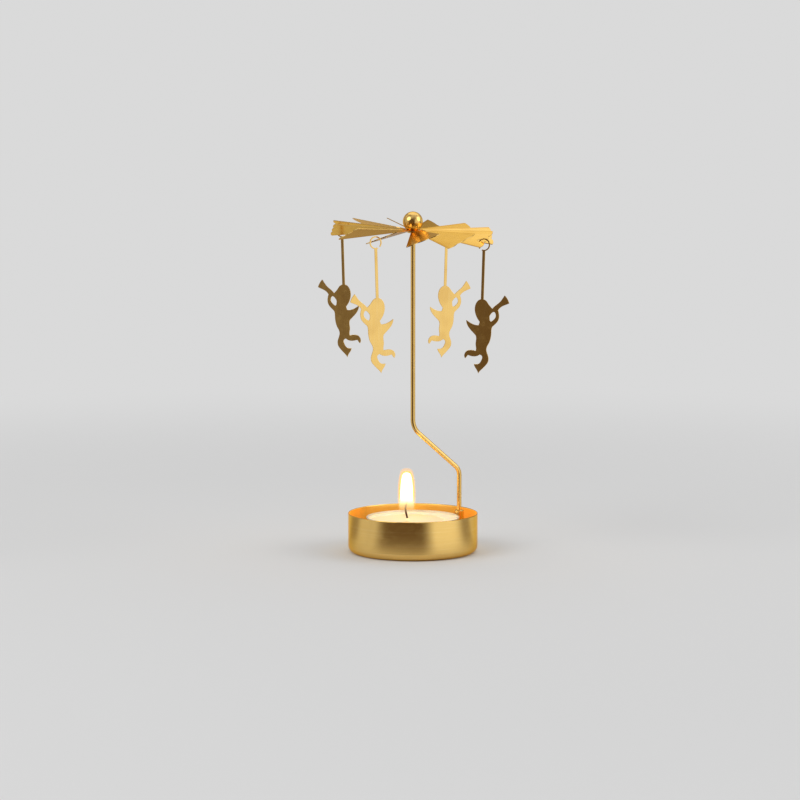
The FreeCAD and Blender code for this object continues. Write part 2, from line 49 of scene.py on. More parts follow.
Rgb = tuple[float, float, float]
Rgba = tuple[float, float, float, float]
Point = tuple[float, float, float]
Levels = tuple[float, float]
Profile = Sequence[tuple[float, float]]
Ring = Sequence[bmesh.types.BMVert]

BLACK: Rgb = (0.0, 0.0, 0.0)
MIX_SHARE, MIX_FIRST, MIX_SECOND, MIX_COLOUR = 0, 6, 7, 2


class Channel:
    """A number that varies over a surface, held as the output socket of a shader node."""

    def __init__(self, graph: "Graph", socket: bpy.types.NodeSocket) -> None:
        """Wrap a socket of the given graph."""
        self.graph = graph
        self.socket = socket

    def combine(self, operation: str, first: "Number", second: "Number" = 0.0) -> "Channel":
        """Join two numbers with a Math node.

        Args:
            operation: the Math node's operation.
            first: the left operand.
            second: the right operand, where the operation has one.

        Returns:
            The result as a channel.
        """
        node = self.graph.node("ShaderNodeMath", {"operation": operation}, {0: first, 1: second})
        return Channel(self.graph, node.outputs[0])

    def __add__(self, other: "Number") -> "Channel":
        """Sum of two numbers."""
        return self.combine("ADD", self, other)

    def __radd__(self, other: "Number") -> "Channel":
        """Sum with a plain number on the left."""
        return self.combine("ADD", other, self)

    def __sub__(self, other: "Number") -> "Channel":
        """Difference of two numbers."""
        return self.combine("SUBTRACT", self, other)

    def __rsub__(self, other: "Number") -> "Channel":
        """Difference with a plain number on the left."""
        return self.combine("SUBTRACT", other, self)

    def __mul__(self, other: "Number") -> "Channel":
        """Product of two numbers."""
        return self.combine("MULTIPLY", self, other)

    def __rmul__(self, other: "Number") -> "Channel":
        """Product with a plain number on the left."""
        return self.combine("MULTIPLY", other, self)

    def __truediv__(self, other: "Number") -> "Channel":
        """Quotient of two numbers."""
        return self.combine("DIVIDE", self, other)

    def __rtruediv__(self, other: "Number") -> "Channel":
        """Quotient with a plain number on the left."""
        return self.combine("DIVIDE", other, self)

    def __pow__(self, other: "Number") -> "Channel":
        """Power of a number."""
        return self.combine("POWER", self, other)

    def __rpow__(self, other: "Number") -> "Channel":
        """Power of a plain number."""
        return self.combine("POWER", other, self)

    def at_most(self, other: "Number") -> "Channel":
        """The smaller of two numbers."""
        return self.combine("MINIMUM", self, other)

    def at_least(self, other: "Number") -> "Channel":
        """The larger of two numbers."""
        return self.combine("MAXIMUM", self, other)

    def whole(self) -> "Channel":
        """The whole number at or below this one."""
        return self.combine("FLOOR", self)

    def folded(self, span: float) -> "Channel":
        """This number folded back and forth between 0 and a span."""
        return self.combine("PINGPONG", self, span)

    def turn_from(self, across: "Number") -> "Channel":
        """Angle of the direction that goes this far ahead and that far across."""
        return self.combine("ARCTAN2", self, across)

    def between(self, low: float, high: float) -> "Channel":
        """Share of the way from one level to another, eased and kept between 0 and 1.

        Args:
            low: the level that gives 0.
            high: the level that gives 1.

        Returns:
            The share as a channel.
        """
        settings = {"interpolation_type": "SMOOTHSTEP", "clamp": True}
        inputs = {"Value": self, "From Min": low, "From Max": high}
        node = self.graph.node("ShaderNodeMapRange", settings, inputs)
        return Channel(self.graph, node.outputs["Result"])


Number = Union[float, Channel]


class Place(NamedTuple):
    """Coordinates of a shaded point."""

    x: Number
    y: Number
    z: Number

    def radius(self, centre: tuple[float, float] = (0.0, 0.0)) -> Channel:
        """Distance from an upright line.

        Args:
            centre: where the line meets the ground.

        Returns:
            The distance as a channel.
        """
        across, ahead = self.x - centre[0], self.y - centre[1]
        return (across * across + ahead * ahead) ** 0.5


@dataclass(frozen=True)
class Noise:
    """Smooth noise: its features per unit, its finer layers, and its stretch along the axes."""

    scale: float
    detail: float = 2.0
    stretch: Point = (1.0, 1.0, 1.0)
    shift: float = 0.0


class Graph:
    """The node tree of a material or of the world."""

    def __init__(self, owner: Union[bpy.types.Material, bpy.types.World]) -> None:
        """Empty the owner's node tree and keep it at hand."""
        self.owner = owner
        self.owner.use_nodes = True
        self.tree = self.owner.node_tree
        self.tree.nodes.clear()

    def node(
        self, kind: str, settings: Mapping[str, Any], inputs: Mapping[Any, Any],
    ) -> bpy.types.Node:
        """Add a node.

        Args:
            kind: the node's type.
            settings: properties that are set first.
            inputs: value, socket or channel for each input, by name or index.

        Returns:
            The new node.
        """
        node = self.tree.nodes.new(kind)
        for name, value in settings.items():
            setattr(node, name, value)
        for key, value in inputs.items():
            source = value.socket if isinstance(value, Channel) else value
            if isinstance(source, bpy.types.NodeSocket):
                self.tree.links.new(source, node.inputs[key])
            else:
                node.inputs[key].default_value = source
        return node

    def coordinates(self, source: str, unit: float = 1.0) -> Place:
        """Read one of the texture coordinates.

        Args:
            source: name of the coordinates, such as "Object".
            unit: length of one unit of the result.

        Returns:
            The three coordinates.
        """
        vector = self.node("ShaderNodeTexCoord", {}, {}).outputs[source]
        split = self.node("ShaderNodeSeparateXYZ", {}, {0: vector})
        return Place(*(Channel(self, output) * (1.0 / unit) for output in split.outputs))

    def ray(self, kind: str) -> Channel:
        """1 for rays of that kind, such as "Is Glossy Ray", and 0 for the rest."""
        return Channel(self, self.node("ShaderNodeLightPath", {}, {}).outputs[kind])

    def noise(self, place: Place, noise: Noise) -> Channel:
        """Read smooth noise, from 0 to 1.

        Args:
            place: where the noise is read.
            noise: what the noise is like.

        Returns:
            The noise as a channel.
        """
        pairs = zip(place, noise.stretch)
        x, y, z = (value if factor == 1.0 else value * factor for value, factor in pairs)
        if noise.shift:
            x = x + noise.shift
        vector = self.node("ShaderNodeCombineXYZ", {}, {0: x, 1: y, 2: z}).outputs[0]
        inputs = {"Vector": vector, "Scale": noise.scale, "Detail": noise.detail}
        node = self.node("ShaderNodeTexNoise", {"noise_dimensions": "3D"}, inputs)
        return Channel(self, node.outputs[0])

    def mix(self, share: Number, first: Any, second: Any) -> bpy.types.NodeSocket:
        """Blend two colours.

        Args:
            share: share of the second colour.
            first: colour or socket at share 0.
            second: colour or socket at share 1.

        Returns:
            The blended colour's socket.
        """
        pair = [(*c, 1.0) if isinstance(c, tuple) else c for c in (first, second)]
        inputs = {MIX_SHARE: share, MIX_FIRST: pair[0], MIX_SECOND: pair[1]}
        return self.node("ShaderNodeMix", {"data_type": "RGBA"}, inputs).outputs[MIX_COLOUR]

    def bump(
        self, height: Channel, depth: float, under: Optional[bpy.types.NodeSocket] = None,
    ) -> bpy.types.NodeSocket:
        """Normal of a surface with relief.

        Args:
            height: the relief's height.
            depth: metres that one unit of the height stands for.
            under: normal of a coarser relief below it.

        Returns:
            The normal's socket.
        """
        inputs = {"Height": height, "Distance": depth}
        if under is not None:
            inputs["Normal"] = under
        return self.node("ShaderNodeBump", {}, inputs).outputs[0]

    def blend(
        self, share: Channel, first: bpy.types.Node, second: bpy.types.Node,
    ) -> bpy.types.Node:
        """Blend two shaders.

        Args:
            share: share of the second shader.
            first: shader at share 0.
            second: shader at share 1.

        Returns:
            The blended shader.
        """
        inputs = {0: share, 1: first.outputs[0], 2: second.outputs[0]}
        return self.node("ShaderNodeMixShader", {}, inputs)

    def close(self, kind: str, surface: bpy.types.Node) -> None:
        """Lead a shader to the tree's output, which is of the given type."""
        self.node(kind, {}, {"Surface": surface.outputs[0]})


@dataclass(frozen=True)
class Finish(ABC):
    """Look of one material."""

    name: str

    @abstractmethod
    def surface(self, graph: Graph, place: Place) -> dict[str, Any]:
        """Value, socket or channel for each input of the finish's Principled surface.

        Args:
            graph: the finish's material.
            place: where it is shaded, in millimetres.

        Returns:
            The inputs by name.
        """

    def build(self) -> bpy.types.Material:
        """Make the material.

        Returns:
            The finished material.
        """
        graph = Graph(bpy.data.materials.new(self.name))
        sockets = self.surface(graph, graph.coordinates("Object", MM))
        shader = graph.node("ShaderNodeBsdfPrincipled", {}, sockets)
        graph.close("ShaderNodeOutputMaterial", shader)
        return graph.owner


class Grain(Enum):
    """Fineness of the lines that working the metal leaves, along three ways across it."""

    TURNED = (2.2, 2.2, 0.02)
    DRAWN = (2.2, 2.2, 0.08)
    ROLLED = (0.06, 1.6, 1.6)


@dataclass(frozen=True)
class Blades:
    """Blades bent by hand out of a round sheet, each a little differently, with painted shade along
    their sides.

    From above, half a blade is as wide as its side offset plus its side slope for each
    millimetre away from the axis.
    """

    count: int = 12
    first: float = math.radians(7.5)
    side_slope: float = 0.1923
    side_offset: float = 0.2455
    # The levels and share below paint a band of shade along each blade's sides.
    edge_shade_levels: Levels = (0.1, 0.8)
    edge_shade_share: float = 0.45
    bend_levels: Levels = (6.5, 10.0)
    bend_share: float = 0.45
    number_step: float = 0.73
    number_row: tuple[float, float] = (0.31, 0.57)

    def side(self, place: Place) -> Channel:
        """Find the sides of the blades, where a band of shade is painted.

        Args:
            place: where the wheel is shaded.

        Returns:
            1 along the sides, and 0 away from them.
        """
        folded = (place.y.turn_from(place.x) - self.first).folded(math.pi / self.count)
        inward = self.side_offset + place.radius() * (self.side_slope - folded)
        return 1.0 - inward.between(*self.edge_shade_levels)

    def bend(self, graph: Graph, place: Place) -> Channel:
        """Tilt each blade about its own centre line.

        Args:
            graph: the wheel's material.
            place: where the wheel is shaded.

        Returns:
            The height that tilts it, in millimetres.
        """
        step = math.tau / self.count
        turn = place.y.turn_from(place.x) - self.first
        number = (turn * (1 / step) + 0.5).whole()
        radius = place.radius()
        across = radius * (turn - number * step)
        row = Place(number * self.number_step, *self.number_row)
        lean = graph.noise(row, Noise(1.0, 0.0)) - 0.5
        return across * lean * radius.between(*self.bend_levels) * self.bend_share


@dataclass(frozen=True)
class Warmth:
    """Light of the flame on the inner wall of the dish."""

    wall_radius: float = 27.56
    wall_levels: Levels = (-0.05, 0.15)
    rise_levels: Levels = (0.3, 16.0)
    colour: Rgb = (1.0, 0.46, 0.06)
    strength: float = 0.40

    def light(self, graph: Graph, place: Place) -> bpy.types.NodeSocket:
        """Let the wall glow, most at its rim.

        Args:
            graph: the dish's material.
            place: where the dish is shaded.

        Returns:
            The socket of the glow's colour.
        """
        low, high = (self.wall_radius + level for level in self.wall_levels)
        inside = 1.0 - place.radius().between(low, high)
        return graph.mix(inside * place.z.between(*self.rise_levels), BLACK, self.colour)


@dataclass(frozen=True)
class Brass(Finish):
    """Polished brass with fine working lines, faint smudges and a little tarnish."""

    grain: Grain
    colour: Rgb = (0.86, 0.57, 0.18)
    # Tarnish colour; on the fan wheel it is also the colour of the painted shade along the blade
    # sides.
    tarnish: Rgb = (0.60, 0.33, 0.09)
    pale: Rgb = (0.94, 0.72, 0.34)
    edge_tint: Rgba = (1.0, 0.74, 0.36, 1.0)
    tarnish_share: float = 0.35
    speck_share: float = 0.10
    smudge_share: float = 0.10
    worn_share: float = 0.30
    roughness: float = 0.12
    dull_roughness: float = 0.12
    line_roughness: float = 0.04
    cloud: Noise = Noise(0.11, 1.5)
    cloud_levels: Levels = (0.48, 0.72)
    smudge: Noise = Noise(0.30, 1.5, (1.0, 1.0, 1.4), 31.0)
    smudge_levels: Levels = (0.50, 0.70)
    smudge_relief: float = 0.3
    speck: Noise = Noise(1.9)
    speck_levels: Levels = (0.72, 0.80)
    worn_levels: Levels = (0.50, 0.75)
    stretch: float = 0.0
    stretch_turn: float = 0.0
    line_depth: float = 0.004 * MM
    ripple_depth: float = 0.02 * MM
    bend_depth: float = 1.0 * MM
    blades: Optional[Blades] = None
    warmth: Optional[Warmth] = None

    def lines(self, graph: Graph, place: Place) -> Channel:
        """Draw the metal's fine working lines.

        Args:
            graph: the metal's material.
            place: where it is shaded.

        Returns:
            The lines, from 0 to 1.
        """
        if self.grain is Grain.TURNED:
            place = Place(place.radius(), place.z, place.x + place.y)
        return graph.noise(place, Noise(1.0, stretch=self.grain.value))

    def surface(self, graph: Graph, place: Place) -> dict[str, Any]:
        """Value, socket or channel for each input of the metal's surface.

        Args:
            graph: the metal's material.
            place: where it is shaded.

        Returns:
            The inputs by name.
        """
        lines = self.lines(graph, place)
        cloud = graph.noise(place, self.cloud)
        smudge = graph.noise(place, self.smudge)
        speck = graph.noise(place, self.speck)
        # Tarnish, tarnish specks and, on the fan wheel, painted shade along the blade sides, all
        # towards the tarnish colour.
        tarnish_and_shade = cloud.between(*self.cloud_levels) * self.tarnish_share
        tarnish_and_shade = tarnish_and_shade + speck.between(*self.speck_levels) * self.speck_share
        smeared = smudge.between(*self.smudge_levels) * self.smudge_share
        rough = self.roughness + smeared + tarnish_and_shade * self.dull_roughness + lines * self.line_roughness
        bent = None
        if self.blades:
            # Painted shade: a dark band along each blade's sides, standing in for the edges'
            # shadow.
            tarnish_and_shade = tarnish_and_shade + self.blades.side(place) * self.blades.edge_shade_share
            bent = graph.bump(self.blades.bend(graph, place), self.bend_depth)
        ripple = graph.bump(cloud + smudge * self.smudge_relief, self.ripple_depth, bent)
        worn = lines.between(*self.worn_levels) * self.worn_share
        sockets = {
            "Base Color": graph.mix(tarnish_and_shade, graph.mix(worn, self.colour, self.pale), self.tarnish),
            "Metallic": 1.0,
            "Roughness": rough,
            "Specular Tint": self.edge_tint,
            "Anisotropic": self.stretch,
            "Anisotropic Rotation": self.stretch_turn,
            "Normal": graph.bump(lines, self.line_depth, ripple),
        }
        if self.warmth:
            sockets["Emission Color"] = self.warmth.light(graph, place)
            sockets["Emission Strength"] = self.warmth.strength
        return sockets


@dataclass(frozen=True)
class Foil(Finish):
    """Thin drawn aluminium of the tealight's cup."""

    name: str = "drawn_aluminium"
    colour: Rgb = (0.80, 0.78, 0.74)
    dented: Rgb = (0.60, 0.57, 0.52)
    dented_share: float = 0.25
    dent: Noise = Noise(0.25)
    dent_levels: Levels = (0.4, 0.7)
    line: Noise = Noise(1.0, stretch=(1.0, 1.0, 0.15))
    line_levels: Levels = (0.3, 0.7)
    line_relief: float = 0.15
    line_roughness: float = 0.08
    roughness: float = 0.30
    relief: float = 0.02 * MM

    def surface(self, graph: Graph, place: Place) -> dict[str, Any]:
        """Value, socket or channel for each input of the foil's surface.

        Args:
            graph: the foil's material.
            place: where it is shaded.

        Returns:
            The inputs by name.
        """
        lines = graph.noise(place, self.line)
        dents = graph.noise(place, self.dent)
        shade = dents.between(*self.dent_levels) * self.dented_share
        return {
            "Base Color": graph.mix(shade, self.colour, self.dented),
            "Metallic": 1.0,
            "Roughness": self.roughness + lines.between(*self.line_levels) * self.line_roughness,
            "Normal": graph.bump(lines * self.line_relief + dents, self.relief),
        }


@dataclass(frozen=True)
class Wax(Finish):
    """Ivory candle wax: a clear melted pool round the wick, and whiter wax at the wall."""

    name: str = "candle_wax"
    colour: Rgb = (0.86, 0.79, 0.60)
    flecked: Rgb = (0.80, 0.73, 0.55)
    flecked_share: float = 0.20
    fleck: Noise = Noise(1.9, 4.0)
    fleck_levels: Levels = (0.5, 0.8)
    melted: Rgb = (0.88, 0.76, 0.46)
    melted_share: float = 0.85
    wick_at: tuple[float, float] = (-2.3, 0.0)
    pool_levels: Levels = (15.0, 18.5)
    wave: Noise = Noise(0.30, 3.0)
    wave_width: float = 3.0
    wave_relief: float = 0.4
    roughness: float = 0.38
    pool_smoothing: float = 0.26
    relief: float = 0.03 * MM
    # Painted light: the wax glows with the flame's light, warmest near the wick.
    near_glow: Rgb = (1.0, 0.68, 0.30)
    far_glow: Rgb = (0.85, 0.50, 0.20)
    glow_levels: Levels = (1.0, 17.0)
    glow_strength: float = 0.15
    refraction: float = 1.44
    scatter_share: float = 0.35
    scatter_radius: Point = (2.5, 1.5, 0.7)
    scatter_scale: float = 1.0 * MM

    def surface(self, graph: Graph, place: Place) -> dict[str, Any]:
        """Value, socket or channel for each input of the wax's surface.

        Args:
            graph: the wax's material.
            place: where it is shaded.

        Returns:
            The inputs by name.
        """
        away = place.radius(self.wick_at)
        waves = graph.noise(place, self.wave)
        pool = 1.0 - (away + waves * self.wave_width).between(*self.pool_levels)
        flecks = graph.noise(place, self.fleck)
        specked = flecks.between(*self.fleck_levels) * self.flecked_share
        solid = graph.mix(specked, self.colour, self.flecked)
        relief = flecks * (1.0 - pool) + waves * self.wave_relief
        return {
            "Base Color": graph.mix(pool * self.melted_share, solid, self.melted),
            "Roughness": self.roughness - pool * self.pool_smoothing,
            "Normal": graph.bump(relief, self.relief),
            "IOR": self.refraction,
            "Subsurface Weight": self.scatter_share,
            "Subsurface Radius": self.scatter_radius,
            "Subsurface Scale": self.scatter_scale,
            # Painted glow of the flame's light, fading from the wick outward.
            "Emission Color": graph.mix(
                away.between(*self.glow_levels), self.near_glow, self.far_glow,
            ),
            "Emission Strength": self.glow_strength,
        }


@dataclass(frozen=True)
class Char(Finish):
    """Burnt cotton wick: black-brown fibres with an ember at the tip."""

    name: str = "burnt_cotton"
    dark: Rgb = (0.030, 0.010, 0.006)
    brown: Rgb = (0.160, 0.045, 0.020)
    brown_levels: Levels = (0.4, 0.7)
    fibre: Noise = Noise(2.0, 3.0, (3.0, 3.0, 1.2))
    relief: float = 0.10 * MM
    roughness: float = 0.92
    ember: Rgb = (1.0, 0.22, 0.03)
    ember_heights: Levels = (20.6, 21.6)
    ember_levels: Levels = (0.35, 0.6)
    ember_strength: float = 1.0

    def surface(self, graph: Graph, place: Place) -> dict[str, Any]:
        """Value, socket or channel for each input of the wick's surface.

        Args:
            graph: the wick's material.
            place: where it is shaded.

        Returns:
            The inputs by name.
        """
        fibres = graph.noise(place, self.fibre)
        ember = place.z.between(*self.ember_heights) * fibres.between(*self.ember_levels)
        return {
            "Base Color": graph.mix(fibres.between(*self.brown_levels), self.dark, self.brown),
            "Roughness": self.roughness,
            "Normal": graph.bump(fibres, self.relief),
            "Emission Color": graph.mix(ember, BLACK, self.ember),
            "Emission Strength": self.ember_strength,
        }


@dataclass(frozen=True)
class Tin(Finish):
    """Tinned sheet of the wick's foot, under the wax."""

    name: str = "tinned_sheet"
    dark: Rgb = (0.56, 0.56, 0.55)
    light: Rgb = (0.70, 0.69, 0.66)
    spangle: Noise = Noise(0.8)
    spangle_roughness: float = 0.15
    roughness: float = 0.32
    relief: float = 0.02 * MM

    def surface(self, graph: Graph, place: Place) -> dict[str, Any]:
        """Value, socket or channel for each input of the sheet's surface.

        Args:
            graph: the sheet's material.
            place: where it is shaded.

        Returns:
            The inputs by name.
        """
        spangles = graph.noise(place, self.spangle)
        return {
            "Base Color": graph.mix(spangles, self.dark, self.light),
            "Metallic": 1.0,
            "Roughness": self.roughness + spangles * self.spangle_roughness,
            "Normal": graph.bump(spangles, self.relief),
        }


@dataclass(frozen=True)
class Glow(Finish):
    """One layer of the flame: it shines, and thins out towards its foot and its tip."""

    low_colour: Rgb
    high_colour: Rgb
    strength: float
    cover: float
    foot: float
    tip: float
    start: float = 0.02
    full: float = 0.40
    colour_change: Levels = (0.20, 0.50)
    thins_from: float = 0.75
    thins_by: float = 0.40

    def heights(self, low: float, high: float) -> Levels:
        """Heights at two shares of the way from the foot to the tip."""
        length = self.tip - self.foot
        return self.foot + length * low, self.foot + length * high

    def surface(self, graph: Graph, place: Place) -> dict[str, Any]:
        """Value, socket or channel for each input of the layer's surface.

        Args:
            graph: the layer's material.
            place: where it is shaded.

        Returns:
            The inputs by name.
        """
        rise = place.z.between(*self.heights(*self.colour_change))
        start = place.z.between(*self.heights(self.start, self.full))
        end = 1.0 - place.z.between(*self.heights(self.thins_from, 1.0)) * self.thins_by
        return {
            "Base Color": (*BLACK, 1.0),
            "Roughness": 1.0,
            "Specular IOR Level": 0.0,
            "Emission Color": graph.mix(rise, self.low_colour, self.high_colour),
            "Emission Strength": self.strength,
            "Alpha": start * end * self.cover,
        }


def dress(node: str, material: bpy.types.Material) -> None:
    """Give one of the solids its material.

    Args:
        node: name of the solid.
        material: its material.
    """
    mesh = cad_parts[node].data
    mesh.materials.clear()
    mesh.materials.append(material)
    LOG.info("%s dressed as %s", node, material.name)


@dataclass(frozen=True)
class Edging:
    """Small rounding of a sheet's sharp edges, which catches the light and keeps its flats flat."""

    width: float
    crease: float
    sharp: float = 40.0
    segments: int = 2
    weld: float = 0.002 * MM

    def apply(self, node: str) -> None:
        """Round the sharp edges of a solid.

        Args:
            node: name of the solid.
        """
        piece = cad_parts[node]
        weld = piece.modifiers.new("weld", "WELD")
        weld.merge_threshold = self.weld
        bevel = piece.modifiers.new("edge", "BEVEL")
        bevel.width = self.width
        bevel.segments = self.segments
        bevel.limit_method = "ANGLE"
        bevel.angle_limit = math.radians(self.sharp)
        split = piece.modifiers.new("crease", "EDGE_SPLIT")
        split.split_angle = math.radians(self.crease)
        split.use_edge_sharp = False


class Skin:
    """A new piece in the making: rings of points that are joined to a skin."""

    def __init__(self, name: str) -> None:
        """Start a piece of that name."""
        self.name = name
        self.build = bmesh.new()

    def ring(self, centre: Vector, radius: float, sides: int) -> list[bmesh.types.BMVert]:
        """Add a level ring of points, or one point where the radius is 0.

        Args:
            centre: middle of the ring.
            radius: its radius.
            sides: how many points it has.

        Returns:
            The points, in order.
        """
        if radius <= 0.0:
            return [self.build.verts.new(centre)]
        turns = (math.tau * i / sides for i in range(sides))
        arms = (Vector((math.cos(turn), math.sin(turn), 0.0)) * radius for turn in turns)
        return [self.build.verts.new(centre + arm) for arm in arms]

    def bridge(self, rings: Sequence[Ring]) -> None:
        """Join each ring of points to the next; a ring of one point closes to a fan.

        Args:
            rings: the rings, in order.
        """
        for low, high in zip(rings, rings[1:]):
            steps = max(len(low), len(high))
            for i in range(steps):
                j = (i + 1) % steps
                corners = (low[i % len(low)], low[j % len(low)],
                           high[j % len(high)], high[i % len(high)])
                corners = list(dict.fromkeys(corners))
                if len(corners) > 2:
                    self.build.faces.new(corners)

    def close(self, ring: Ring) -> None:
        """Close a ring with a flat face."""
        self.build.faces.new(ring)

    def finish(self, material: bpy.types.Material) -> bpy.types.Object:
        """Turn the faces outward, shade them smooth and put the piece into the scene.

        Args:
            material: the piece's material.

        Returns:
            The new piece.
        """
        mesh = bpy.data.meshes.new(self.name)
        bmesh.ops.recalc_face_normals(self.build, faces=self.build.faces)
        self.build.to_mesh(mesh)
        self.build.free()
        mesh.shade_smooth()
        mesh.materials.append(material)
        piece = bpy.data.objects.new(self.name, mesh)
        bpy.context.scene.collection.objects.link(piece)
        LOG.info("%s built", self.name)
        return piece


def turned(
    name: str, profile: Profile, centre: Vector, material: bpy.types.Material, sides: int,
) -> bpy.types.Object:
    """Revolve a profile about an upright line.

    Args:
        name: name of the new piece.
        profile: radius and height of each point, in metres.
        centre: point of the axis at height 0.
        material: the piece's material.
        sides: number of facets round the axis.

    Returns:
        The new piece, smooth shaded.
    """
    skin = Skin(name)
    levels = ((radius, centre + Vector((0.0, 0.0, height))) for radius, height in profile)
    skin.bridge([skin.ring(middle, radius, sides) for radius, middle in levels])
    return skin.finish(material)


@dataclass
class Stand:
    """Dish, socket and bent wire post."""

    dish: Brass = Brass(
        "dish_brass", Grain.TURNED, tarnish_share=0.12, speck_share=0.03, smudge_share=0.03,
        roughness=0.14, stretch=0.8, stretch_turn=0.25, ripple_depth=0.003 * MM, warmth=Warmth(),
    )
    socket: Brass = Brass("socket_brass", Grain.TURNED, roughness=0.16)
    wire: Brass = Brass(
        "wire_brass", Grain.DRAWN, tarnish_share=0.25, speck_share=0.02, roughness=0.16,
        line_depth=0.001 * MM, ripple_depth=0.006 * MM,
    )

    def dress(self) -> None:
        """Give the stand's solids their finishes."""
        dress("base_dish", self.dish.build())
        dress("post_socket", self.socket.build())
        dress("post", self.wire.build())


@dataclass
class Rotor:
    """Fan wheel with its knob, bearing cup and washer."""

    sheet: Brass = Brass(
        "wheel_brass", Grain.ROLLED, tarnish_share=0.22, speck_share=0.04, smudge_share=0.05,
        roughness=0.15, ripple_depth=0.05 * MM, blades=Blades(),
    )
    edging: Edging = Edging(0.05 * MM, 12.0)
    solid: Brass = Brass("knob_brass", Grain.TURNED, roughness=0.13)
    solid_names: tuple[str, ...] = ("ball_knob", "bearing_cup", "hub_washer")

    def dress(self) -> None:
        """Give the rotor's solids their finishes."""
        self.edging.apply("fan_wheel")
        dress("fan_wheel", self.sheet.build())
        solid = self.solid.build()
        for name in self.solid_names:
            dress(name, solid)


@dataclass
class Cherubs:
    """The four hanging cherubs, stamped from one sheet."""

    names: tuple[str, ...] = (
        "cherub_back_right", "cherub_back_left", "cherub_front_left", "cherub_front_right",
    )
    sheet: Brass = Brass(
        "cherub_brass", Grain.DRAWN, tarnish_share=0.28, speck_share=0.04, smudge_share=0.06,
        roughness=0.12, ripple_depth=0.08 * MM,
    )
    edging: Edging = Edging(0.07 * MM, 3.0)

    def dress(self) -> None:
        """Give the cherubs their finish."""
        sheet = self.sheet.build()
        for name in self.names:
            self.edging.apply(name)
            dress(name, sheet)


@dataclass(frozen=True)
class Meniscus:
    """Molten wax drawn a little way up the wick."""

    centre: Point = (-2.3 * MM, 0.0, 0.0)
    radius: float = 1.5 * MM
    foot: float = 14.05 * MM
    height: float = 0.5 * MM
    shape: Profile = (
        (1.0, -0.1), (0.80, 0.06), (0.58, 0.26), (0.42, 0.58), (0.34, 1.0), (0.0, 1.0),
    )
    sides: int = 40

    def build(self, material: bpy.types.Material) -> None:
        """Build the meniscus from the wax's material.

        Args:
            material: the wax's material.
        """
        profile = [(self.radius * out, self.foot + self.height * up) for out, up in self.shape]
        piece = turned("wax_meniscus", profile, Vector(self.centre), material, self.sides)
        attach(piece, "tealight")


@dataclass(frozen=True)
class Wick:
    """Wick twisted from strands along its burnt bend, with a thicker charred tip."""

    foot: Point = (-2.3, 0.0, 13.6)
    low_pull: Point = (-2.3, 0.0, 15.6)
    high_pull: Point = (-4.1, 0.0, 18.2)
    tip: Point = (-2.55, 0.0, 21.5)
    steps: int = 60
    turns: float = 2.6
    strands: int = 3
    strand_sides: int = 10
    strand_radius: float = 0.24 * MM
    twist_radius: float = 0.22 * MM
    swells_from: float = 0.8
    swells_by: float = 0.25

    def build(self, material: bpy.types.Material) -> None:
        """Build the wick in place of its solid.

        Args:
            material: the wick's material.
        """
        corners = (self.foot, self.low_pull, self.high_pull, self.tip)
        line = interpolate_bezier(*(Vector(corner) * MM for corner in corners), self.steps)
        skin = Skin("burnt_wick")
        for strand in range(self.strands):
            rings = []
            for step, centre in enumerate(line):
                share = step / (len(line) - 1)
                charred = max(0.0, share - self.swells_from) / (1.0 - self.swells_from)
                swell = 1.0 + self.swells_by * charred
                turn = math.tau * (strand / self.strands + share * self.turns)
                arm = Vector((math.cos(turn), math.sin(turn), 0.0)) * self.twist_radius * swell
                rings.append(skin.ring(centre + arm, self.strand_radius * swell, self.strand_sides))
            skin.bridge(rings)
            skin.close(rings[-1])
        piece = skin.finish(material)
        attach(piece, "tealight")
        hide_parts("wick")


@dataclass(frozen=True)
class Flame:
    """Flame in layers, from its white core to its thin orange mantle."""

    centre: Point = (-2.7 * MM, 0.0, 0.0)
    foot: float = 16.4 * MM
    height: float = 18.0 * MM
    radius: float = 2.75 * MM
    lower_by: float = 0.4
    taller_by: float = 2.2
    shape: Profile = (
        (0.00, 0.00), (0.50, 0.01), (0.78, 0.04), (0.91, 0.10), (0.98, 0.19), (1.00, 0.30),
        (1.00, 0.45), (0.98, 0.58), (0.94, 0.69), (0.87, 0.79), (0.77, 0.88), (0.66, 0.945),
        (0.49, 0.98), (0.25, 0.996), (0.00, 1.00),
    )
    sides: int = 40
    smoothing: int = 2
    core: Glow = Glow(
        "flame_core", (0.10, 0.075, 0.045), (1.0, 0.68, 0.30), 15.0, 0.98, 16.4, 34.4, 0.21,
    )
    body: Glow = Glow(
        "flame_body", (0.95, 0.72, 0.40), (1.0, 0.56, 0.10), 1.6, 0.55, 16.2, 35.5,
    )
    mantle: Glow = Glow(
        "flame_mantle", (1.0, 0.55, 0.15), (1.0, 0.48, 0.06), 1.7, 0.26, 16.0, 36.7,
    )
    growths: tuple[float, ...] = (1.0, 1.18, 1.40)

    def profile(self, growth: float) -> Profile:
        """Radius and height of a layer, from its foot to its tip.

        Args:
            growth: width of the layer against the core.

        Returns:
            The profile's points.
        """
        swell = (growth - 1.0) * self.radius
        low = self.foot - swell * self.lower_by
        tall = self.height + swell * self.taller_by
        return [(out * self.radius * growth, low + up * tall) for out, up in self.shape]

    def build(self) -> None:
        """Build the layers, which ride with the tealight and cast no shadow."""
        glows = (self.core, self.body, self.mantle)
        for glow, growth in zip(glows, self.growths):
            profile = self.profile(growth)
            layer = turned(glow.name, profile, Vector(self.centre), glow.build(), self.sides)
            layer.modifiers.new("round", "SUBSURF").render_levels = self.smoothing
            layer.visible_shadow = False
            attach(layer, "tealight")


